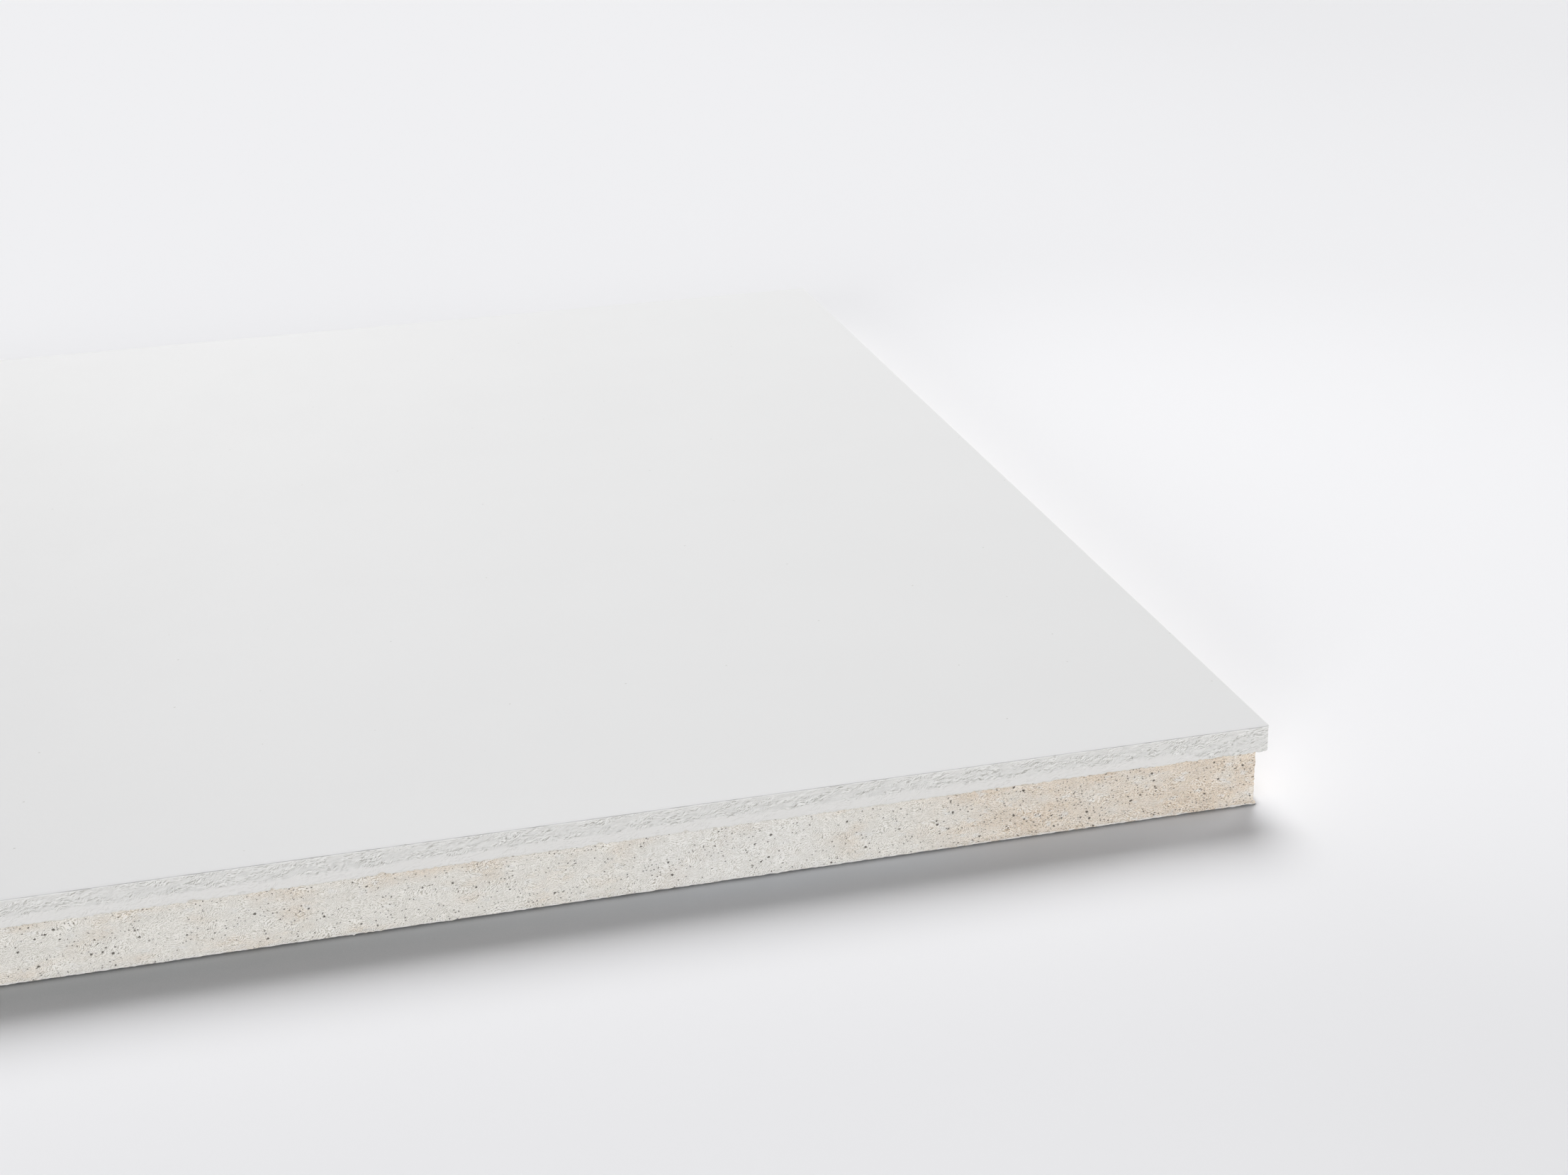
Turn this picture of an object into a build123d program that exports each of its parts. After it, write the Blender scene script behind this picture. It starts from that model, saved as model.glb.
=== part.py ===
from build123d import *
import os

# A square ceiling panel of wet-laid mineral fibre board, lying with its painted face up.
# Its edge is stepped on all four sides: a lip at the face stands out past the core below it.
# Millimetres. The origin is the centre of the back face, and +Z points up out of the painted face.

# Panel
panel_length = 603.0  # along X
panel_width = 603.0  # along Y
panel_thickness = 25.4  # back face to painted face

# Stepped edge
lip_thickness = 7.9  # painted face down to the underside of the lip
lip_overhang = 2.2  # how far the lip stands out past the core

# Breaks and radii that the forming and trimming of the board leave
face_arris = 0.35
lip_arris = 0.3
step_root_radius = 0.6
back_arris = 0.4
corner_radius = 0.8  # upright corners of the lip and of the core

core_height = panel_thickness - lip_thickness


def make_core():
    """The body of the board, from the back face up to the underside of the lip."""
    outline = RectangleRounded(
        panel_length - 2 * lip_overhang,
        panel_width - 2 * lip_overhang,
        corner_radius,
    )
    core = extrude(outline, amount=core_height)
    back_edges = core.faces().sort_by(Axis.Z)[0].edges()
    return chamfer(back_edges, back_arris)


def make_lip():
    """The slab at the painted face, which reaches the panel's full length and width."""
    outline = RectangleRounded(panel_length, panel_width, corner_radius)
    lip = extrude(Pos(Z=core_height) * outline, amount=lip_thickness)
    lip = chamfer(lip.faces().sort_by(Axis.Z)[-1].edges(), face_arris)
    return chamfer(lip.faces().sort_by(Axis.Z)[0].edges(), lip_arris)


def make_board():
    """Core and lip as the one solid board that they are, with a small radius in the step."""
    board = (make_core() + make_lip()).solid()
    downward_faces = board.faces().filter_by(lambda face: face.normal_at().Z < -0.99)
    lip_underside = downward_faces.sort_by(Axis.Z)[-1]
    step_root = lip_underside.inner_wires()[0].edges()
    return board.fillet(step_root_radius, step_root)


board = make_board()
board.label = "tile_board"

os.makedirs("parts", exist_ok=True)
export_step(board, "parts/tile_board.step")
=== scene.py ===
import math
import bpy
import numpy as np
from mathutils import Matrix, Vector, noise


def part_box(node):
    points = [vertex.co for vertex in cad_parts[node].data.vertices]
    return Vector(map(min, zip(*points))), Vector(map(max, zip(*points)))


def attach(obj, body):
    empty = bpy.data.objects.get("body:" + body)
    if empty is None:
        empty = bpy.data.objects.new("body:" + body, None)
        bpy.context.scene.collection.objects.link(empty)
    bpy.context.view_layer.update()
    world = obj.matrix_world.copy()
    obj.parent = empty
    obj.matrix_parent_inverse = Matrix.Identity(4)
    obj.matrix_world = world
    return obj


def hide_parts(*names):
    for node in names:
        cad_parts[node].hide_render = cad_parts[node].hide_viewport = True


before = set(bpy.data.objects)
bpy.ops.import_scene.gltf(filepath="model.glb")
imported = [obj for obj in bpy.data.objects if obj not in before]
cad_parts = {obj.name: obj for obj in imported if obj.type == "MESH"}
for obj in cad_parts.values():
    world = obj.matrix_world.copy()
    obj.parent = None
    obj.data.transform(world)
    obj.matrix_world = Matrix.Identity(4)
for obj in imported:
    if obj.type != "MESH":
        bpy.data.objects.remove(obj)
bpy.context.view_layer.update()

# Sizes are in millimetres until a mesh or a lamp is made, and MM turns them into metres.
MM = 0.001
NODE = "tile_board"
box_low, box_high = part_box(NODE)
half_x = (box_high[0] - box_low[0]) / 2 / MM
half_y = (box_high[1] - box_low[1]) / 2 / MM
top_z = box_high[2] / MM
perimeter = 4 * (half_x + half_y)
lip_thickness = 7.9
lip_overhang = 2.2
step_z = top_z - lip_thickness
corner_radius = 0.8

# The bands of the painted lip, measured down from the face
facing_height = 0.5  # the paint and facing at the very top
rough_band_height = 4.9  # torn fibre under the facing, and smooth paint below it
corner_rough_run = 26.0  # the torn fibre takes the whole lip this near a corner
corner_rough_drop = 4.0  # how much lower it reaches there

# Spacing of the columns of points, finer along the part of the front that the camera sees
fine_from_x = -62.0
lip_spacing = {"fine": 0.32, "front": 1.0, "other": 1.2}
core_spacing = {"fine": 0.42, "front": 1.2, "other": 1.5}
corner_columns = 3

SIDES = {"front": -90, "right": 0, "back": 90, "left": 180}  # which way each side faces, in degrees


# Points round the panel


def side_steps(side, half_run, spacing):
    """How far along one side its columns stand, from -half_run to half_run."""
    if side != "front":
        return np.linspace(-half_run, half_run, round(2 * half_run / spacing["other"]) + 1)
    coarse = np.linspace(-half_run, fine_from_x, round((fine_from_x + half_run) / spacing["front"]) + 1)
    fine = np.linspace(fine_from_x, half_run, round((half_run - fine_from_x) / spacing["fine"]) + 1)
    return np.concatenate([coarse, fine[1:]])


def outline_columns(spacing):
    """Columns of points round the panel, anticlockwise from its front left corner.

    Each has a place on a unit square, the outward normal there and its run round the edge in mm.
    """
    places, normals, runs = [], [], []
    run = 0.0
    for side, degrees in SIDES.items():
        facing = math.radians(degrees)
        normal = np.array([math.cos(facing), math.sin(facing)])
        along = np.array([-normal[1], normal[0]])
        half_run = half_x if side in ("front", "back") else half_y
        for step in side_steps(side, half_run, spacing):
            places.append(normal + step / half_run * along)
            normals.append(normal)
            runs.append(run + half_run + step)
        run += 2 * half_run
        for i in range(1, corner_columns + 1):
            turn = facing + math.radians(90) * i / (corner_columns + 1)
            places.append(normal + along)
            normals.append(np.array([math.cos(turn), math.sin(turn)]))
            runs.append(run)
    return np.array(places), np.array(normals), np.array(runs)


def grid_points(places, normals, insets, heights):
    """Points at insets from the panel's outline and at heights, both as rows by columns, in mm."""
    reach_x = half_x - insets - corner_radius
    reach_y = half_y - insets - corner_radius
    x = places[:, 0] * reach_x + normals[:, 0] * corner_radius
    y = places[:, 1] * reach_y + normals[:, 1] * corner_radius
    return np.stack([x, y, np.broadcast_to(heights, x.shape)], axis=-1)


def run_to_corner(runs):
    """How far each column is from the nearest corner of the panel."""
    corners = np.cumsum([0, 2 * half_x, 2 * half_y, 2 * half_x, 2 * half_y])
    return np.abs(runs[:, None] - corners[None, :]).min(axis=1)


def rings(values, columns):
    """Rows of equal values, one row for each of the values."""
    return np.repeat(values[:, None], columns, axis=1)


def closed_mesh(name, points, attributes):
    """A closed mesh from rings of points: quads between rings, and one flat face at each end."""
    rows, columns = points.shape[:2]
    index = np.arange(rows * columns).reshape(rows, columns)
    after = np.roll(index, -1, axis=1)
    quads = np.stack([index[1:], after[1:], after[:-1], index[:-1]], axis=-1).reshape(-1, 4)
    faces = quads.tolist() + [index[0].tolist(), index[-1][::-1].tolist()]
    mesh = bpy.data.meshes.new(name)
    mesh.from_pydata((points.reshape(-1, 3) * MM).tolist(), [], faces)
    mesh.shade_smooth()
    for end_face in mesh.polygons[-2:]:
        end_face.use_smooth = False
    for attribute, values in attributes.items():
        layer = mesh.attributes.new(attribute, "FLOAT", "POINT")
        layer.data.foreach_set("value", np.broadcast_to(values, (rows, columns)).astype(np.float32).ravel())
    mesh.update()
    piece = bpy.data.objects.new(name, mesh)
    bpy.context.scene.collection.objects.link(piece)
    return piece


# Relief

noise_gain = 1.6  # brings the noise to about -1 to 1
seed_gap = 7.31  # how far apart two seeds lie in the noise
strokes_in_cluster = 12
cluster_spread = 3.0  # how far from its cluster's middle a stroke may stand
stroke_bend = 0.2  # how much a stroke curves
ridge_height = 0.8  # of the groove's depth
ridge_offset = 1.7  # from the groove, in widths of it


def smooth_step(value, low, high):
    """0 below low, 1 above high and a smooth change between them."""
    share = np.clip((value - low) / (high - low), 0, 1)
    return share * share * (3 - 2 * share)


def noise_at(u, v, seed):
    """Smooth noise from about -1 to 1 over two coordinates that broadcast to one shape."""
    u, v = np.broadcast_arrays(u, v)
    layer = seed * seed_gap
    values = [noise.noise(Vector((a, b, layer))) for a, b in zip(u.ravel(), v.ravel())]
    return np.array(values).reshape(u.shape) * noise_gain


def patches(runs, heights, length, width, seed):
    """Noise with patches of about length mm round the panel's edge and width mm up it."""
    return noise_at(runs / length, heights / width, seed)


def waves(runs, length, seed):
    """Noise that changes only round the panel's edge, with waves of about length mm."""
    return noise_at(runs / length, 0.0, seed)


def leaning_noise(runs, heights, degrees, length, width, seed):
    """Noise drawn out to length by width mm, and leaning by degrees from the board's layers."""
    lean = math.radians(degrees)
    along = runs * math.cos(lean) + heights * math.sin(lean)
    across = heights * math.cos(lean) - runs * math.sin(lean)
    return noise_at(along / length, across / width, seed)


def add_strokes(relief, runs, heights, strokes):
    """Presses short fibre strokes into the relief: a groove with a ridge along its upper side."""
    for run, height, length, angle, width, depth in strokes:
        rows = np.abs(heights - height) < length
        across = (runs - run + perimeter / 2) % perimeter - perimeter / 2
        columns = np.abs(across) < length
        if not rows.any() or not columns.any():
            continue
        dx = across[columns][None, :]
        dz = (heights[rows] - height)[:, None]
        along = dx * math.cos(angle) + dz * math.sin(angle)
        off = -dx * math.sin(angle) + dz * math.cos(angle)
        bend = off - stroke_bend * along**2 / length
        taper = np.exp(-((along / (0.5 * length)) ** 4))
        groove = -depth * np.exp(-((bend / width) ** 2))
        ridge = ridge_height * depth * np.exp(-(((bend - ridge_offset * width) / width) ** 2))
        relief[np.ix_(rows, columns)] += (groove + ridge) * taper


def random_strokes(random, count, low, high, lengths, tilt, widths, depths):
    """Strokes at random places, as (run, height, length, angle, width, depth) in mm and radians.

    tilt is the middle and the spread of their angles.
    """
    clusters = random.uniform(0, perimeter, max(1, count // strokes_in_cluster))
    runs = (random.choice(clusters, count) + random.normal(0, cluster_spread, count)) % perimeter
    heights = random.uniform(low, high, count)
    spans = random.uniform(*lengths, count)
    angles = random.normal(tilt[0], tilt[1], count)
    return zip(runs, heights, spans, angles, random.uniform(*widths, count), random.uniform(*depths, count))


# The painted face and lip

# Rings of points on the face. A shallow groove runs just inside the face's edge, where the paint has
# drawn back from it.
face_insets = np.array([1.15, 0.8, 0.45, 0.12, 0.02])
face_drops = np.array([0.0, 0.07, 0.01, 0.05, 0.16])

# Rings of points down the edge, by how far they are below the face
facing_drops = [0.3, facing_height]
rough_drops = np.arange(facing_height + 0.2, rough_band_height + 0.1, 0.3)
smooth_drops = np.linspace(rough_band_height + 0.3, lip_thickness - 0.4, 7)
arris_drops = [lip_thickness - 0.15, lip_thickness]
edge_drops = np.concatenate([facing_drops, rough_drops, smooth_drops, arris_drops])

# Rings of points on the lip's underside, the last of them inside the core
under_insets = np.array([1.0, lip_overhang + 0.6])

# How far inside the outline each band lies, and how far its relief goes in and out
torn_depth = 0.28
torn_lump = 0.34
torn_lump_middle = 0.25  # a lump of this height adds nothing
torn_stroke = 0.8  # the share of a stroke's depth that counts in the torn band
least_torn = 0.15  # the share of lumps and strokes that is left where they are least crowded
smooth_depth = 0.16
smooth_swell = 0.05
smooth_stroke = 0.22  # the same share in the smooth band
facing_depth = 0.04
fine_relief = 0.05
arris_rounding = [0.06, 0.25]  # how much further in the two lowest rings of the edge lie
chip_height = 0.6


def lip_heights(runs):
    """The height of each of the lip's points. Its lower border wanders and is chipped here and there."""
    drops = np.concatenate([face_drops, edge_drops, np.full(len(under_insets), lip_thickness)])
    wander = 0.10 * waves(runs, length=9.0, seed=3) + 0.12 * waves(runs, length=2.2, seed=4)
    wander = wander + 0.18 * waves(runs, length=0.9, seed=14)
    chips = chip_height * smooth_step(waves(runs, length=3.5, seed=5), 0.75, 1.2)
    below_rough = smooth_step(drops, rough_band_height - 1.5, lip_thickness)
    return top_z - drops[:, None] + below_rough[:, None] * (wander + chips)[None, :]


def lip_bands(runs, down):
    """The shares of torn fibre and of smooth paint at each point of the edge, with a ragged border."""
    near_corner = 1 - smooth_step(run_to_corner(runs), 0.45 * corner_rough_run, corner_rough_run)
    border = rough_band_height + 0.40 * waves(runs, length=5.0, seed=6)
    border = border + 0.35 * waves(runs, length=1.3, seed=7) + corner_rough_drop * near_corner
    smooth = smooth_step(down, border - 0.25, border + 0.25)
    rough = smooth_step(down, facing_height, facing_height + 0.35) * (1 - smooth)
    return rough, smooth


def torn_lumps(runs, down):
    """Lumps of fibre that lie at a lean, and how crowded they are from place to place."""
    bent_run = runs + 0.7 * patches(runs, down, length=4.0, width=3.0, seed=8)
    bent_down = down + 0.5 * patches(runs, down, length=4.0, width=3.0, seed=9)
    lumps_up = np.abs(leaning_noise(bent_run, -bent_down, degrees=36, length=2.2, width=0.62, seed=10))
    lumps_flat = np.abs(leaning_noise(bent_run, -bent_down, degrees=4, length=2.4, width=0.66, seed=11))
    upright = smooth_step(waves(runs, length=14.0, seed=12), -0.3, 0.3)
    more_below = 0.22 * (down - 2.2)
    crowd = smooth_step(patches(runs, down, length=8.0, width=2.4, seed=13) + more_below, -0.5, 0.5)
    return lumps_flat + (lumps_up - lumps_flat) * upright, crowd


def torn_strokes(runs):
    """Fibre strokes pressed into the lip's edge."""
    torn = np.zeros((len(edge_drops), len(runs)))
    strokes = random_strokes(
        np.random.default_rng(11),
        count=5200,
        low=step_z + 0.3,
        high=top_z - 0.9,
        lengths=(0.9, 2.7),
        tilt=(0.5, 0.45),
        widths=(0.16, 0.28),
        depths=(0.08, 0.30),
    )
    add_strokes(torn, runs, top_z - edge_drops, strokes)
    return torn


def lip_relief(runs):
    """The relief of the lip's edge and its share of smooth paint.

    Relief stands inwards from the outline, so it is never positive.
    """
    down = edge_drops[:, None]
    rough, smooth = lip_bands(runs, down)
    lumps, crowd = torn_lumps(runs, down)
    torn = torn_strokes(runs)
    fine = fine_relief * patches(runs, down, length=0.7, width=0.6, seed=15)
    fibre = torn_lump * (lumps - torn_lump_middle) + torn_stroke * torn
    relief = rough * (-torn_depth + (least_torn + (1 - least_torn) * crowd) * fibre + fine)
    swell = smooth_swell * patches(runs, down, length=4.5, width=3.0, seed=16)
    relief = relief + smooth * (-smooth_depth + swell + smooth_stroke * torn + 0.5 * fine)
    facing = (1 - rough - smooth) * smooth_step(down, 0.1, 0.3)
    crinkle = patches(runs, down, length=6.0, width=1.0, seed=17)
    relief = relief + facing * (-facing_depth + facing_depth * crinkle)
    calmer_at_corners = 0.45 + 0.55 * smooth_step(run_to_corner(runs), 0.5, 7.0)
    relief = np.minimum(relief * calmer_at_corners, 0)
    relief[-2:] -= np.array(arris_rounding)[:, None]
    return relief, smooth


def make_painted_lip():
    """The painted slab at the face: flat top, torn and painted edge, and the underside of the lip."""
    places, normals, runs = outline_columns(lip_spacing)
    relief, smooth = lip_relief(runs)
    insets = np.concatenate([rings(face_insets, len(runs)), -relief, rings(under_insets, len(runs))])
    edge = slice(len(face_drops), len(face_drops) + len(edge_drops))
    hollow = np.zeros_like(insets)
    hollow[edge] = -relief
    smooth_band = np.zeros_like(insets)
    smooth_band[edge] = smooth
    smooth_band[edge.stop:] = 1
    on_edge = np.zeros_like(insets)
    on_edge[edge.start - 1:] = 1
    arris = np.zeros_like(insets)
    arris[edge.start - 1:edge.start + 1] = 1
    attributes = {
        "on_edge": on_edge,
        "arris": arris,
        "hollow": hollow,
        "smooth_band": smooth_band,
        "run": runs[None, :],
    }
    return closed_mesh("painted_lip", grid_points(places, normals, insets, lip_heights(runs)), attributes)


# The raw core

# Rings of points down the side, from inside the lip to the foot
side_heights = np.linspace(step_z + 1.4, 1.4, 34)

# Rings of points at the foot. A thin burr stands out just above the back edge, which is undercut below it.
foot_heights = np.array([1.0, 0.75, 0.5, 0.28, 0.1])
foot_profile = np.array([0.05, 0.20, 0.24, -0.08, -0.50])
side_share_at_foot = np.array([0.55, 0.15, 0.0, 0.0, 0.0])  # how much of the side's relief is left there

# Rings of points on the back face
base_insets = np.array([lip_overhang + 0.9, lip_overhang + 2.4])

core_depth = 0.24  # how far inside its outline the side lies
tag_length = 0.45  # the longest tags of the burr
core_least_inset = 0.2  # nothing on the core stands nearer to the lip's outline than this


def core_relief(runs, heights):
    """The relief of the side: low swellings with fibre strokes pressed into them."""
    relief = -core_depth + 0.12 * patches(runs, heights, length=3.4, width=1.6, seed=21)
    relief = relief + 0.10 * patches(runs, heights, length=11.0, width=5.0, seed=22)
    relief = relief + 0.07 * patches(runs, heights, length=1.3, width=0.8, seed=26)
    pressed = np.zeros_like(relief)
    grooves = random_strokes(
        np.random.default_rng(23),
        count=5600,
        low=0.6,
        high=step_z,
        lengths=(0.8, 3.0),
        tilt=(0.1, 0.7),
        widths=(0.22, 0.36),
        depths=(0.04, 0.20),
    )
    add_strokes(pressed, runs, np.concatenate([side_heights, foot_heights]), grooves)
    return relief + pressed


def burr(runs):
    """How far the foot stands out from the core's outline: a ragged burr, with tags, and the undercut."""
    tags = tag_length * smooth_step(waves(runs, length=1.6, seed=25), 0.9, 1.3)
    ragged = 0.75 + 0.45 * waves(runs, length=3.0, seed=24) + tags / foot_profile.max()
    out, back = np.maximum(foot_profile, 0), np.minimum(foot_profile, 0)
    return out[:, None] * ragged[None, :] + back[:, None]


def make_raw_core():
    """The board below the step: a raw fibrous side, a ragged back edge and the back face."""
    places, normals, runs = outline_columns(core_spacing)
    uneven = 1.0 + 0.30 * waves(runs, length=3.5, seed=27) + 0.30 * waves(runs, length=1.0, seed=28)
    foot_grid = foot_heights[:, None] * np.clip(uneven, 0.4, 1.35)[None, :]
    heights = np.concatenate([rings(side_heights, len(runs)), foot_grid])
    relief = core_relief(runs, heights)
    foot = slice(len(side_heights), None)
    relief[foot] = relief[foot] * side_share_at_foot[:, None] + burr(runs)

    on_base = np.zeros((len(base_insets), len(runs)))
    insets = np.maximum(lip_overhang - relief, core_least_inset)
    insets = np.concatenate([insets, rings(base_insets, len(runs))])
    heights = np.concatenate([heights, on_base])
    hollow = np.concatenate([-relief, on_base])
    on_back = np.concatenate([np.zeros_like(relief), on_base + 1])
    points = grid_points(places, normals, insets, heights)
    return closed_mesh("raw_core", points, {"on_back": on_back, "hollow": hollow, "run": runs[None, :]})


# Shader nodes

flank_shift = (0.07, -0.085, 0.0)  # how far off a fibre's height is compared, to tell its two flanks apart
flank_gain = 7.0


def add_node(tree, kind, inputs=None, **settings):
    """A node with its settings, and its inputs set to values or linked to other nodes' outputs."""
    made = tree.nodes.new(kind)
    for name, value in settings.items():
        setattr(made, name, value)
    for name, value in (inputs or {}).items():
        if isinstance(value, bpy.types.NodeSocket):
            tree.links.new(value, made.inputs[name])
        else:
            made.inputs[name].default_value = value
    return made


def maths(tree, operation, first, second=0.0):
    """One Math node's output."""
    return add_node(tree, "ShaderNodeMath", {0: first, 1: second}, operation=operation).outputs[0]


def product(tree, first, *others):
    """All the values multiplied together."""
    for other in others:
        first = maths(tree, "MULTIPLY", first, other)
    return first


def total(tree, first, *others):
    """All the values added together."""
    for other in others:
        first = maths(tree, "ADD", first, other)
    return first


def vector_maths(tree, operation, first, inputs):
    """A Vector Math node with the vector first as its first input."""
    return add_node(tree, "ShaderNodeVectorMath", {0: first, **inputs}, operation=operation)


def ramp(tree, value, low, high, to_low=0.0, to_high=1.0):
    """A smooth change from to_low to to_high as value goes from low to high."""
    inputs = {"Value": value, "From Min": low, "From Max": high, "To Min": to_low, "To Max": to_high}
    return add_node(tree, "ShaderNodeMapRange", inputs, interpolation_type="SMOOTHSTEP").outputs[0]


def blend(tree, factor, first, second, mode="MIX"):
    """A mix of two colours, each a socket or a red, green, blue tuple."""
    first = (*first, 1.0) if isinstance(first, tuple) else first
    second = (*second, 1.0) if isinstance(second, tuple) else second
    inputs = {0: factor, 6: first, 7: second}
    return add_node(tree, "ShaderNodeMix", inputs, data_type="RGBA", blend_type=mode).outputs[2]


def scaled(colour, factor):
    """A red, green, blue tuple made brighter or darker."""
    return tuple(factor * channel for channel in colour)


def grey(tree, value):
    """The grey of this value."""
    return add_node(tree, "ShaderNodeCombineColor", {0: value, 1: value, 2: value}).outputs[0]


def tinted(tree, colour, tint):
    """The colour multiplied by a tint, each a socket or a red, green, blue tuple."""
    return blend(tree, 1.0, colour, tint, "MULTIPLY")


def noise_texture(tree, place, cell, detail=1.0, roughness=0.5):
    """Noise with features about cell mm across, mostly from 0.3 to 0.7."""
    inputs = {"Vector": place, "Scale": 1 / cell, "Detail": detail, "Roughness": roughness}
    return add_node(tree, "ShaderNodeTexNoise", inputs).outputs["Fac"]


def place_in_mm(tree):
    """The place on the object in mm."""
    place = add_node(tree, "ShaderNodeTexCoord").outputs["Object"]
    return add_node(tree, "ShaderNodeMapping", {"Vector": place, "Scale": (1 / MM,) * 3}).outputs[0]


def warped(tree, place, cell, reach):
    """The place pushed about by noise, so that straight layers become curled ones."""
    inputs = {"Vector": place, "Scale": 1 / cell, "Detail": 0.0}
    colour = add_node(tree, "ShaderNodeTexNoise", inputs).outputs["Color"]
    centred = vector_maths(tree, "SUBTRACT", colour, {1: (0.5, 0.5, 0.5)}).outputs[0]
    push = vector_maths(tree, "SCALE", centred, {3: reach}).outputs[0]
    return vector_maths(tree, "ADD", place, {1: push}).outputs[0]


def leaned(tree, place, degrees, length, width):
    """The place turned by degrees in its first two coordinates and counted in length by width mm."""
    inputs = {"Vector": place, "Rotation": (0, 0, math.radians(degrees)), "Scale": (length, width, width)}
    return add_node(tree, "ShaderNodeMapping", inputs, vector_type="TEXTURE").outputs[0]


def leaning_texture(tree, place, degrees, length, width, **settings):
    """Noise with features about length by width mm that lean by degrees, mostly from 0.3 to 0.7."""
    return noise_texture(tree, leaned(tree, place, degrees, length, width), cell=1.0, **settings)


def fibres(tree, place, degrees, length, width):
    """Fibres of about length by width mm that lean by degrees: their height and their flank.

    The flank is near 1 on the upper left side of a fibre and near -1 on the lower right side.
    """
    beside = vector_maths(tree, "ADD", place, {1: flank_shift}).outputs[0]
    height = leaning_texture(tree, place, degrees, length, width)
    height_beside = leaning_texture(tree, beside, degrees, length, width)
    return height, product(tree, maths(tree, "SUBTRACT", height_beside, height), flank_gain)


def two_fibres(tree, place, upright, steep, level):
    """Fibres that are steep where upright is 1 and level where it is 0: their height and their flank.

    steep and level are each the degrees, length and width of one kind.
    """
    height_steep, flank_steep = fibres(tree, place, *steep)
    height_level, flank_level = fibres(tree, place, *level)
    height = ramp(tree, upright, 0.0, 1.0, height_level, height_steep)
    return height, ramp(tree, upright, 0.0, 1.0, flank_level, flank_steep)


def scattered(tree, place, spacing):
    """Dots about spacing mm apart: how far off the nearest is, in spacings, and its random numbers."""
    inputs = {"Vector": place, "Scale": 1 / spacing}
    cells = add_node(tree, "ShaderNodeTexVoronoi", inputs, voronoi_dimensions="2D")
    chance = add_node(tree, "ShaderNodeSeparateColor", {0: cells.outputs["Color"]})
    return cells.outputs["Distance"], chance.outputs


def attribute(tree, name):
    """A value stored at the mesh's points."""
    return add_node(tree, "ShaderNodeAttribute", attribute_name=name).outputs["Fac"]


def bump(tree, height, depth, normal=None):
    """A normal bent by a height from 0 to 1 that stands for depth in mm."""
    inputs = {"Height": height, "Distance": depth * MM, "Strength": 1.0}
    if normal is not None:
        inputs["Normal"] = normal
    return add_node(tree, "ShaderNodeBump", inputs).outputs[0]


def new_material(name, roughness, specular):
    """An empty material: its tree and its shader."""
    material = bpy.data.materials.new(name)
    material.use_nodes = True
    tree = material.node_tree
    shader = tree.nodes["Principled BSDF"]
    shader.inputs["Roughness"].default_value = roughness
    shader.inputs["Specular IOR Level"].default_value = specular
    return material, tree, shader


# The paint

FACE_WHITE = (0.634, 0.634, 0.634)
TORN_WHITE = (0.657, 0.653, 0.641)
SMOOTH_WHITE = (0.708, 0.700, 0.689)
LIT_WHITE = (0.82, 0.815, 0.80)
ARRIS_HIGHLIGHT = (0.86, 0.86, 0.845)
PAINTED_SHADE_GREY = (0.36, 0.355, 0.33)

cloud_size = 60.0
cloud_tone = 1.012
pinhole_spacing = 34.0
pinhole_radius = 0.34  # the largest ones
pinhole_share = 0.5  # how strongly they show
smooth_lumps = 0.28  # how strongly lumps show in the smooth band, where the torn band has 1
arris_highlight_share = 0.5  # how strongly the painted highlight along the arris shows
lip_fibres = {"steep": (38, 0.9, 0.32), "level": (-6, 1.2, 0.34)}  # degrees, length and width


def paint_on_face(tree, place):
    """Faint clouds, and a few pinholes left where the paint has not closed over the fibre, drawn as dots of
    painted shade.
    """
    clouds = ramp(tree, noise_texture(tree, place, cloud_size, detail=2.0), 0.3, 0.7)
    colour = blend(tree, clouds, FACE_WHITE, scaled(FACE_WHITE, cloud_tone))
    away, chance = scattered(tree, place, pinhole_spacing)
    radius = ramp(tree, chance[0], 0.3, 1.0, to_high=pinhole_radius / pinhole_spacing)
    pinhole = maths(tree, "LESS_THAN", away, radius)
    return blend(tree, product(tree, pinhole, pinhole_share), colour, PAINTED_SHADE_GREY)


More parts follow.
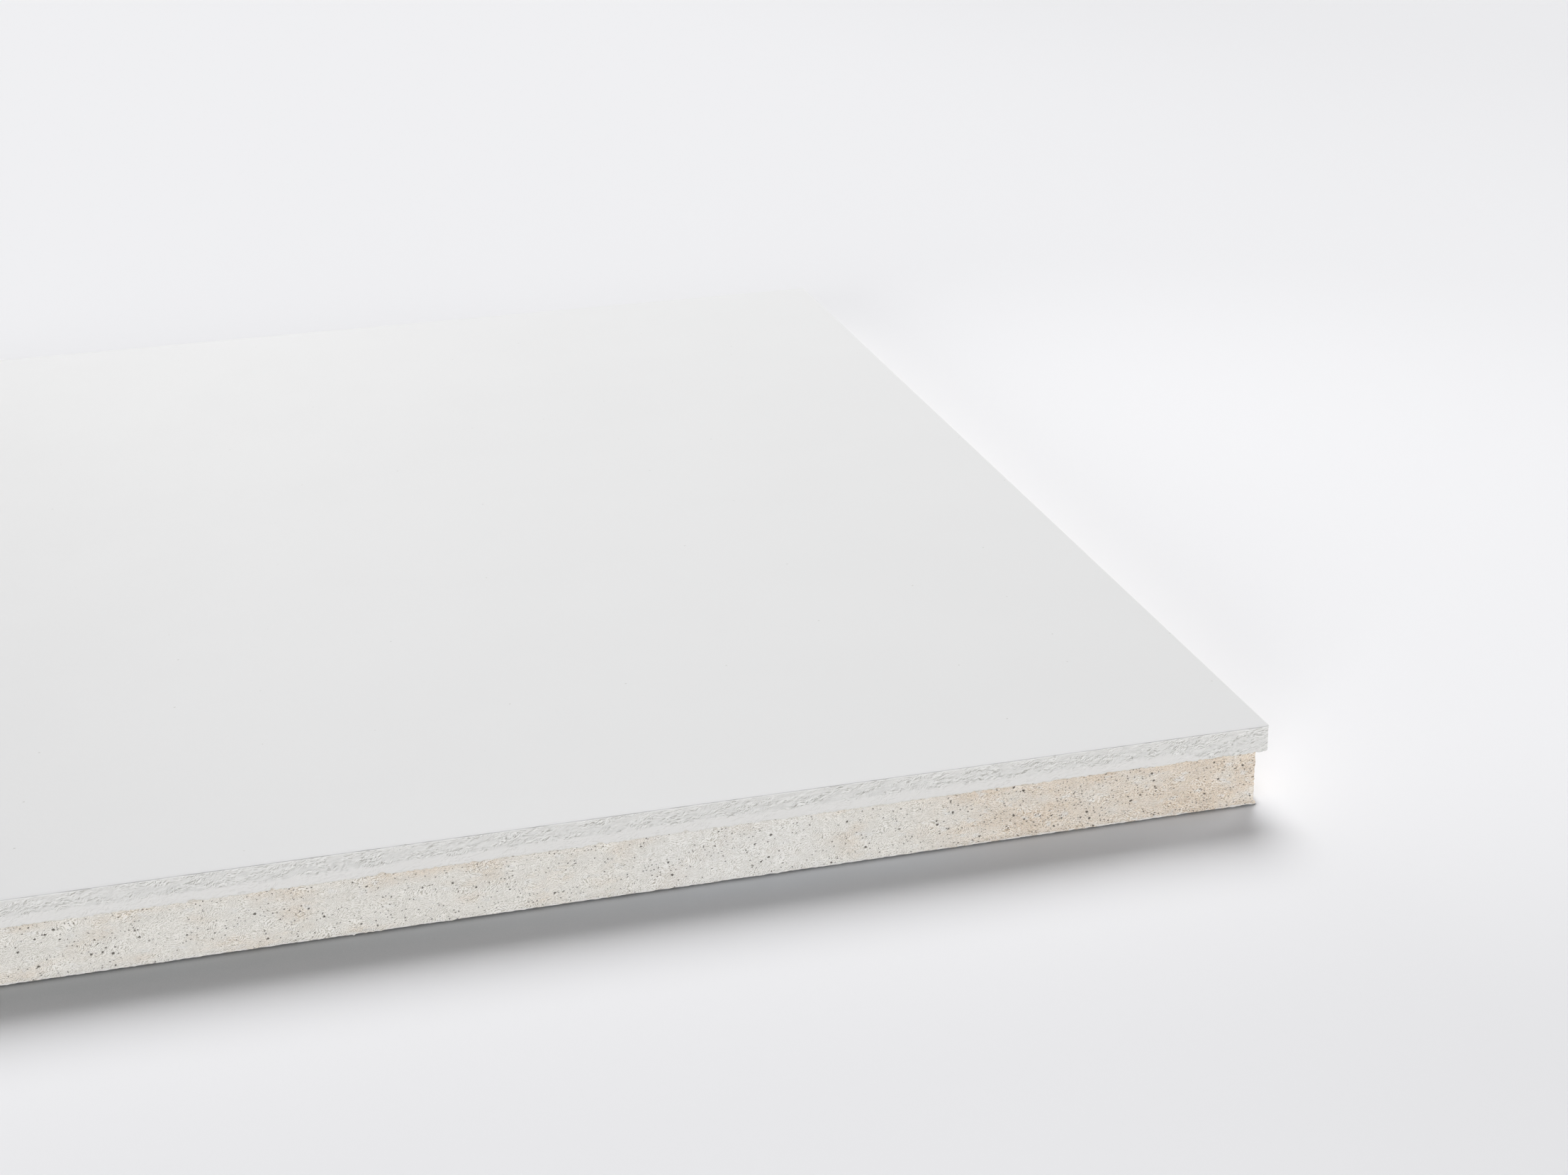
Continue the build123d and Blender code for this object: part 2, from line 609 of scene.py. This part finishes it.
def paint_on_edge(tree, round_edge, on_edge):
    """Lumps of torn fibre that lean, with creases between them, and smoother paint below. Painted highlight
    and shade lie on the lumps' flanks and in the hollows.

    What comes back is the colour, the height of the lumps and how strongly they show.
    """
    smooth_band = attribute(tree, "smooth_band")
    curled = warped(tree, round_edge, cell=2.0, reach=1.3)
    upright = ramp(tree, noise_texture(tree, round_edge, cell=11.0), 0.42, 0.58)
    thin_height, thin_flank = two_fibres(tree, curled, upright, **lip_fibres)
    thick_height, thick_flank = fibres(tree, curled, degrees=10, length=2.0, width=0.75)
    lumps = total(tree, product(tree, thin_height, 0.7), product(tree, thick_height, 0.6))
    flank = total(tree, product(tree, thin_flank, 0.8), product(tree, thick_flank, 1.3))
    crowd = leaning_texture(tree, round_edge, degrees=12, length=7.0, width=2.0)
    crowd = ramp(tree, crowd, 0.38, 0.60, to_low=0.20)
    by_band = ramp(tree, smooth_band, 0.0, 1.0, to_low=1.0, to_high=smooth_lumps)
    weight = product(tree, by_band, on_edge, crowd)

    cloudy = ramp(tree, leaning_texture(tree, round_edge, degrees=5, length=3.5, width=1.4), 0.35, 0.65)
    torn = blend(tree, cloudy, scaled(TORN_WHITE, 0.965), scaled(TORN_WHITE, 1.035))
    colour = blend(tree, smooth_band, torn, SMOOTH_WHITE)
    # Painted highlight on the fibres' upper left flanks and painted shade on their lower right flanks.
    flank_highlight = product(tree, ramp(tree, flank, 0.1, 0.8, to_high=0.80), weight)
    colour = blend(tree, flank_highlight, colour, LIT_WHITE)
    flank_shade = product(tree, ramp(tree, flank, -0.20, -0.80, to_high=0.95), weight)
    colour = blend(tree, flank_shade, colour, PAINTED_SHADE_GREY)
    # Painted shade in the hollows of the torn band.
    hollow_shade = ramp(tree, attribute(tree, "hollow"), 0.32, 0.75, to_high=0.35)
    hollow_shade = product(tree, hollow_shade, maths(tree, "SUBTRACT", 1.0, smooth_band))
    return blend(tree, hollow_shade, colour, PAINTED_SHADE_GREY), lumps, weight


def make_paint():
    """Matt white paint: almost smooth on the face, and soaked into torn fibre on the lip's edge."""
    material, tree, shader = new_material("white_paint", roughness=0.65, specular=0.5)
    place = place_in_mm(tree)
    height = add_node(tree, "ShaderNodeSeparateXYZ", {0: place}).outputs["Z"]
    round_edge = add_node(tree, "ShaderNodeCombineXYZ", {0: attribute(tree, "run"), 1: height}).outputs[0]
    on_edge = attribute(tree, "on_edge")
    edge, lumps, weight = paint_on_edge(tree, round_edge, on_edge)
    colour = blend(tree, on_edge, paint_on_face(tree, place), edge)
    # A painted highlight along the arris.
    colour = blend(tree, product(tree, attribute(tree, "arris"), arris_highlight_share), colour, ARRIS_HIGHLIGHT)
    tree.links.new(colour, shader.inputs["Base Color"])

    normal = bump(tree, noise_texture(tree, place, cell=0.5), depth=0.012)
    normal = bump(tree, noise_texture(tree, place, cell=2.6), depth=0.02, normal=normal)
    normal = bump(tree, product(tree, lumps, weight), depth=0.20, normal=normal)
    tree.links.new(normal, shader.inputs["Normal"])
    return material


# The raw board

GREY_CORE = (0.826, 0.806, 0.768)
WARM_CORE = (0.778, 0.670, 0.558)
PEACH = (0.80, 0.70, 0.575)
CLAY_WHITE = (0.80, 0.793, 0.780)
FIBRE_HIGHLIGHT = (0.87, 0.855, 0.83)
GREY_HAIR_AND_SHADE = (0.44, 0.42, 0.37)
BROWN_HAIR_AND_SHADE = (0.33, 0.255, 0.178)
SPECK_DARK = (0.085, 0.075, 0.062)
CLEAN_WHITE = scaled(CLAY_WHITE, 1.06)

# Where the board's colour changes, from one place to another in mm: right of the panel's middle
warm_rise = (half_x - 112, half_x - 72)
warmest_rise = (half_x - 45, half_x - 15)
whiter_rise = (116, 132)
whiter_fall = (180, 164)
# behind the panel's middle
whiter_end = (-half_y + 15, -half_y + 25)
# and above the floor
under_step_rise = (step_z - 4.5, step_z - 0.5)
under_lip_shade_rise = (step_z - 1.35, step_z - 0.85)
burr_fall = (0.9, 0.6)

# How strongly the marks show
peach_share = 0.85
whiter_share = 0.75
small_speck_share = 0.8
large_speck_share = 0.9
burr_share = 0.85

core_fibres = {"steep": (34, 0.65, 0.22), "level": (-12, 0.7, 0.21)}  # degrees, length and width

# Specks: the spacing and the radius of the largest, in mm
large_specks = (2.0, 0.31)
small_specks = (0.80, 0.185)
smallest_speck = 0.35  # of the largest
speck_softness = 0.3


def short_hairs(tree, place, degrees, length, width, strength):
    """Short fibres that lean by degrees, in some places and not in others: up to strength on one."""
    fibre = leaning_texture(tree, place, degrees, length, width)
    where = leaning_texture(tree, place, degrees, length=5.0, width=2.4)
    where = ramp(tree, where, 0.38, 0.60, to_low=0.4)
    return product(tree, ramp(tree, fibre, 0.365, 0.295), where, strength)


def specks(tree, place, spacing, radius, crowd):
    """Small grains about spacing mm apart: 1 in a grain. crowd is the share of the dots that have one."""
    away, chance = scattered(tree, place, spacing)
    size = ramp(tree, chance[1], 0.0, 1.0, smallest_speck * radius / spacing, radius / spacing)
    soft = speck_softness * radius / spacing
    inside = ramp(tree, maths(tree, "SUBTRACT", away, size), -soft, soft, to_low=1.0, to_high=0.0)
    return product(tree, inside, maths(tree, "LESS_THAN", chance[0], crowd))


def board_warmth(tree, flat, parts):
    """How warm the board is, from grey at 0, and how much of that belongs to its right end.

    It is warmer towards the panel's right end, in broad patches everywhere, and along the step.
    """
    right_end = ramp(tree, parts.outputs["X"], *warm_rise, to_high=0.65)
    right_end = total(tree, right_end, ramp(tree, parts.outputs["X"], *warmest_rise, to_high=0.2))
    patchy = leaning_texture(tree, flat, degrees=-8, length=13.0, width=7.0, detail=2.0)
    right_end = product(tree, right_end, ramp(tree, patchy, 0.36, 0.54, to_low=0.55, to_high=1.05))
    broad = leaning_texture(tree, flat, degrees=8, length=17.0, width=8.0, detail=2.0)
    under_step = ramp(tree, parts.outputs["Z"], *under_step_rise, to_high=0.16)
    everywhere = ramp(tree, broad, 0.46, 0.75, to_high=0.55)
    return total(tree, everywhere, total(tree, right_end, under_step)), right_end


def board_colour(tree, flat, parts, warmth):
    """Grey and warm areas, peach in the warm ones, patches of clay and one whiter stretch in front."""
    colour = blend(tree, warmth, GREY_CORE, WARM_CORE)
    peachy = leaning_texture(tree, flat, degrees=12, length=4.0, width=1.9, detail=3.0, roughness=0.65)
    peachy = product(tree, ramp(tree, peachy, 0.50, 0.66), warmth, peach_share)
    colour = blend(tree, peachy, colour, PEACH)
    clay = leaning_texture(tree, flat, degrees=-5, length=5.0, width=2.6, detail=2.0)
    colour = blend(tree, ramp(tree, clay, 0.60, 0.68, to_high=0.75), colour, CLAY_WHITE)
    rise = ramp(tree, parts.outputs["X"], *whiter_rise)
    fall = ramp(tree, parts.outputs["X"], *whiter_fall)
    in_front = ramp(tree, parts.outputs["Y"], *whiter_end, to_low=1.0, to_high=0.0)
    return blend(tree, product(tree, rise, fall, in_front, whiter_share), colour, CLEAN_WHITE)


def add_fibres(tree, colour, hair_and_shade_colour, flat, warmth, right_end):
    """The colour with short curled fibres over it: dark hairs, painted highlight and shade on the fibres'
    flanks, and the fibres' height.
    """
    curled = warped(tree, flat, cell=5.0, reach=4.5)
    upright = ramp(tree, noise_texture(tree, flat, cell=6.0), 0.42, 0.58)
    upright = product(tree, upright, ramp(tree, right_end, 0.1, 0.5, to_low=1.0, to_high=0.35))
    height, flank = two_fibres(tree, curled, upright, **core_fibres)
    # Painted highlight on the fibres' upper left flanks and painted shade on their lower right flanks.
    colour = blend(tree, ramp(tree, flank, 0.1, 0.9, to_high=0.85), colour, FIBRE_HIGHLIGHT)
    colour = blend(tree, ramp(tree, flank, -0.15, -0.90, to_high=0.86), colour, hair_and_shade_colour)
    thin = short_hairs(tree, curled, degrees=20, length=0.62, width=0.22, strength=1.0)
    colour = blend(tree, thin, colour, hair_and_shade_colour)
    more_where_warm = total(tree, product(tree, warmth, 1.1), 0.15)
    thick = short_hairs(tree, flat, degrees=-3, length=1.0, width=0.30, strength=more_where_warm)
    return blend(tree, thick, colour, hair_and_shade_colour), height


def add_specks(tree, colour, flat, warmth):
    """The colour with dark specks over it, thicker in some places than others, and the large specks."""
    place = warped(tree, leaned(tree, flat, degrees=15, length=1.3, width=1.0), cell=0.32, reach=0.38)
    crowd = leaning_texture(tree, flat, degrees=10, length=9.0, width=5.0)
    crowd = ramp(tree, crowd, 0.36, 0.64, to_low=0.06, to_high=0.30)
    crowd = total(tree, crowd, product(tree, warmth, 0.22))
    large = specks(tree, place, *large_specks, product(tree, crowd, 0.55))
    small = specks(tree, place, *small_specks, crowd)
    colour = blend(tree, product(tree, small, small_speck_share), colour, SPECK_DARK)
    return blend(tree, product(tree, large, large_speck_share), colour, SPECK_DARK), large


def make_core():
    """Raw mineral fibre: layered fibres, clay patches, warm and grey areas, and dark specks."""
    material, tree, shader = new_material("raw_mineral_fibre", roughness=0.92, specular=0.2)
    place = place_in_mm(tree)
    parts = add_node(tree, "ShaderNodeSeparateXYZ", {0: place})
    height = parts.outputs["Z"]
    # Two coordinates in mm: round the sides and up them, or across the back face
    round_side = add_node(tree, "ShaderNodeCombineXYZ", {0: attribute(tree, "run"), 1: height}).outputs[0]
    inputs = {0: attribute(tree, "on_back"), 4: round_side, 5: place}
    flat = add_node(tree, "ShaderNodeMix", inputs, data_type="VECTOR").outputs[1]

    warmth, right_end = board_warmth(tree, flat, parts)
    colour = board_colour(tree, flat, parts, warmth)
    # The colour of dark hairs, which also serves as painted shade on flanks, in hollows and under the lip.
    hair_and_shade_colour = blend(tree, warmth, GREY_HAIR_AND_SHADE, BROWN_HAIR_AND_SHADE)
    grain = noise_texture(tree, flat, cell=0.26, roughness=0.7)
    colour = blend(tree, ramp(tree, grain, 0.46, 0.24, to_high=0.48), colour, hair_and_shade_colour)
    colour, fibre_height = add_fibres(tree, colour, hair_and_shade_colour, flat, warmth, right_end)
    # Painted shade in the hollows of the side's relief.
    hollow_shade = ramp(tree, attribute(tree, "hollow"), 0.40, 0.80, to_high=0.25)
    colour = blend(tree, hollow_shade, colour, hair_and_shade_colour)
    colour, large = add_specks(tree, colour, flat, warmth)

    # Painted shade lies in the angle just under the lip.
    ragged = ramp(tree, noise_texture(tree, flat, cell=1.1, detail=2.0), 0.35, 0.65, -0.25, 0.25)
    under_lip_shade = ramp(tree, total(tree, height, ragged), *under_lip_shade_rise, to_high=0.34)
    colour = blend(tree, under_lip_shade, colour, hair_and_shade_colour)

    # Painted light: the side is lighter towards the back face, for the dimmer light near the floor. The
    # burr along the back edge is clean and pale.
    colour = tinted(tree, colour, grey(tree, ramp(tree, height, step_z, 0.0, to_low=0.962, to_high=1.085)))
    in_places = ramp(tree, noise_texture(tree, flat, cell=4.0), 0.40, 0.52)
    on_burr = product(tree, ramp(tree, height, *burr_fall), in_places, burr_share)
    colour = blend(tree, on_burr, colour, CLEAN_WHITE)
    tree.links.new(colour, shader.inputs["Base Color"])

    normal = bump(tree, maths(tree, "SUBTRACT", fibre_height, large), depth=0.12)
    normal = bump(tree, grain, depth=0.05, normal=normal)
    tree.links.new(normal, shader.inputs["Normal"])
    return material


# The floor, with its places in metres

FLOOR_PALE = (0.886, 0.886, 0.902)
FLOOR_BRIGHT = (0.945, 0.945, 0.961)
SHADE_DEEP = (0.575, 0.605, 0.62)
SHADE_BLUISH = (1.04, 1.09, 1.15)
SHADE_BESIDE = (0.93, 0.93, 0.93)
SHADE_CREASE = (0.40, 0.40, 0.40)

floor_reach = 14.0
bright_spot = (0.38, 0.08, 0.0)  # a painted glow beside the panel's right side
bright_reach = 0.42
dim_spot = (0.36, -0.55, 0.0)  # painted shade at the picture's lower right corner
dim_reach = (0.05, 0.22)
dim_tone = 0.955
# Painted shade: the floor is darker in front of the panel and far to its right.
ahead_fall = (-0.26, -0.44)
ahead_tone = 0.928
aside_fall = (0.5, 1.5)
aside_tone = 0.955
shade_reach = 30.0 * MM  # how far from the panel the floor's painted shade reaches
crease_reach = 2.5 * MM
near_panel = (half_x + 34.0) * MM
bluish_rise = (-0.02, 0.30)  # in X
front_line = ((-half_y - 6.0) * MM, (-half_y + 12.0) * MM)  # in Y, from in front to beside
thrown_fall = (-0.2, 0.25)  # in Y
thrown_in_front, thrown_behind = 0.90, 0.30  # the share of light that the floor gives back


def floor_colour(tree, place, parts):
    """Pale, with a painted glow beside the panel and painted shade in front, far to the right and at one
    spot.
    """
    from_bright = vector_maths(tree, "DISTANCE", place, {1: bright_spot}).outputs["Value"]
    colour = blend(tree, ramp(tree, from_bright, 0.0, bright_reach), FLOOR_BRIGHT, FLOOR_PALE)
    ahead = ramp(tree, parts.outputs["Y"], *ahead_fall, to_low=1.0, to_high=ahead_tone)
    aside = ramp(tree, parts.outputs["X"], *aside_fall, to_low=1.0, to_high=aside_tone)
    from_dim = vector_maths(tree, "DISTANCE", place, {1: dim_spot}).outputs["Value"]
    corner = ramp(tree, from_dim, *dim_reach, to_low=dim_tone)
    return tinted(tree, colour, grey(tree, product(tree, ahead, aside, corner)))


def openness(tree, reach, samples):
    """How open the floor is: 1 where nothing stands within reach, and less beside the panel."""
    return add_node(tree, "ShaderNodeAmbientOcclusion", {"Distance": reach}, samples=samples).outputs["AO"]


def shaded_floor(tree, colour, parts):
    """The floor's colour close to the panel, with painted shade by how much of the sky the panel hides.

    In front it is a deeper, cooler grey at the left and in the middle, and lighter and bluer at the
    right end. Beside and behind the panel it is only a little darker. The crease right under the
    panel's burr is the deepest.
    """
    to_right = ramp(tree, parts.outputs["X"], *bluish_rise)
    in_front = ramp(tree, parts.outputs["Y"], *front_line, to_low=1.0, to_high=0.0)
    shade = blend(tree, in_front, SHADE_BESIDE, blend(tree, to_right, SHADE_DEEP, SHADE_BLUISH))
    is_open = ramp(tree, openness(tree, shade_reach, samples=8), 0.42, 0.92)
    near = blend(tree, is_open, tinted(tree, colour, shade), colour)
    is_open = ramp(tree, openness(tree, crease_reach, samples=6), 0.5, 1.0)
    return blend(tree, is_open, tinted(tree, near, SHADE_CREASE), near)


def make_floor():
    """A wide pale floor with painted shade round the panel."""
    mesh = bpy.data.meshes.new("floor")
    corners = [(x * floor_reach, y * floor_reach, 0) for x, y in ((-1, -1), (1, -1), (1, 1), (-1, 1))]
    mesh.from_pydata(corners, [], [(0, 1, 2, 3)])
    floor = bpy.data.objects.new("floor", mesh)
    bpy.context.scene.collection.objects.link(floor)

    material, tree, shader = new_material("pale_floor", roughness=0.9, specular=0.0)
    place = add_node(tree, "ShaderNodeTexCoord").outputs["Object"]
    parts = add_node(tree, "ShaderNodeSeparateXYZ", {0: place})
    colour = floor_colour(tree, place, parts)
    tree.links.new(colour, shader.inputs["Base Color"])
    shaded = add_node(tree, "ShaderNodeBsdfDiffuse", {"Color": shaded_floor(tree, colour, parts)})
    away_x = maths(tree, "ABSOLUTE", parts.outputs["X"])
    away = maths(tree, "MAXIMUM", away_x, maths(tree, "ABSOLUTE", parts.outputs["Y"]))
    is_near = maths(tree, "LESS_THAN", away, near_panel)
    seen = add_node(tree, "ShaderNodeMixShader", {0: is_near, 1: shader.outputs[0], 2: shaded.outputs[0]})

    # The light that the floor throws back is even, and weaker behind the panel, where the key is strong.
    thrown = ramp(tree, parts.outputs["Y"], *thrown_fall, thrown_in_front, thrown_behind)
    even = add_node(tree, "ShaderNodeBsdfDiffuse", {"Color": grey(tree, thrown)})
    camera_ray = add_node(tree, "ShaderNodeLightPath").outputs["Is Camera Ray"]
    both = add_node(tree, "ShaderNodeMixShader", {0: camera_ray, 1: even.outputs[0], 2: seen.outputs[0]})
    tree.links.new(both.outputs[0], tree.nodes["Material Output"].inputs["Surface"])
    floor.data.materials.append(material)


# Light and camera

world_light = 0.12
world_seen = 0.86
sun_distance = 2.0  # in metres, and of no effect on a sun's light


def make_world():
    """Dim even light, which the camera and reflections see as the same pale tone as the floor."""
    world = bpy.data.worlds.new("studio")
    bpy.context.scene.world = world
    world.use_nodes = True
    tree = world.node_tree
    path = add_node(tree, "ShaderNodeLightPath")
    seen = maths(tree, "MAXIMUM", path.outputs["Is Camera Ray"], path.outputs["Is Glossy Ray"])
    seen = maths(tree, "MAXIMUM", seen, path.outputs["Is Transmission Ray"])
    background = tree.nodes["Background"]
    background.inputs["Color"].default_value = (1.0, 1.0, 1.015, 1.0)
    tree.links.new(ramp(tree, seen, 0.0, 1.0, world_light, world_seen), background.inputs["Strength"])


def add_sun(name, azimuth, elevation, spread, level):
    """Even light from far off. azimuth 0 comes from the front and 90 from the right.

    level is what it adds to a white surface that faces it.
    """
    lamp = bpy.data.lights.new(name, "SUN")
    lamp.energy = level * math.pi
    lamp.angle = math.radians(spread)
    sun = bpy.data.objects.new(name, lamp)
    turn, rise = math.radians(azimuth), math.radians(elevation)
    source = Vector((math.sin(turn) * math.cos(rise), -math.cos(turn) * math.cos(rise), math.sin(rise)))
    sun.rotation_mode = "QUATERNION"
    sun.rotation_quaternion = (-source).to_track_quat("-Z", "Y")
    sun.location = source * sun_distance
    bpy.context.scene.collection.objects.link(sun)


def make_lights():
    """A broad key from behind, which throws the shadow forward, and low fills for the edges."""
    add_sun("key_from_behind", azimuth=168, elevation=46.5, spread=38, level=0.92)
    add_sun("low_glow_behind", azimuth=190, elevation=5, spread=20, level=0.215)
    add_sun("right_glow", azimuth=106, elevation=13, spread=26, level=0.36)
    add_sun("left_fill", azimuth=-32, elevation=4, spread=24, level=0.78)
    add_sun("right_fill", azimuth=58, elevation=4, spread=24, level=0.31)


def make_camera():
    """The photograph's view: low, from the front, with the front right corner right of the middle."""
    camera_place = Vector((80.8, -741.8, 258.3)) * MM
    camera_yaw, camera_pitch, camera_roll = -10.909, 21.284, -2.734
    camera = bpy.data.cameras.new("camera")
    camera.sensor_width = 36.0
    camera.lens = 43.4
    camera.clip_start, camera.clip_end = 0.01, 60.0
    viewer = bpy.data.objects.new("camera", camera)
    turn = Matrix.Rotation(math.radians(camera_yaw), 4, "Z")
    tilt = Matrix.Rotation(math.radians(90 - camera_pitch), 4, "X")
    roll = Matrix.Rotation(math.radians(camera_roll), 4, "Z")
    viewer.matrix_world = Matrix.Translation(camera_place) @ turn @ tilt @ roll
    bpy.context.scene.collection.objects.link(viewer)
    bpy.context.scene.camera = viewer


make_camera()
make_lights()
make_world()
make_floor()

painted_lip = make_painted_lip()
painted_lip.data.materials.append(make_paint())
raw_core = make_raw_core()
raw_core.data.materials.append(make_core())
for piece, slot in ((painted_lip, "face_paint"), (raw_core, "mineral_board")):
    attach(piece, "root")
    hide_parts(NODE)

bpy.context.scene.view_settings.view_transform = "Standard"
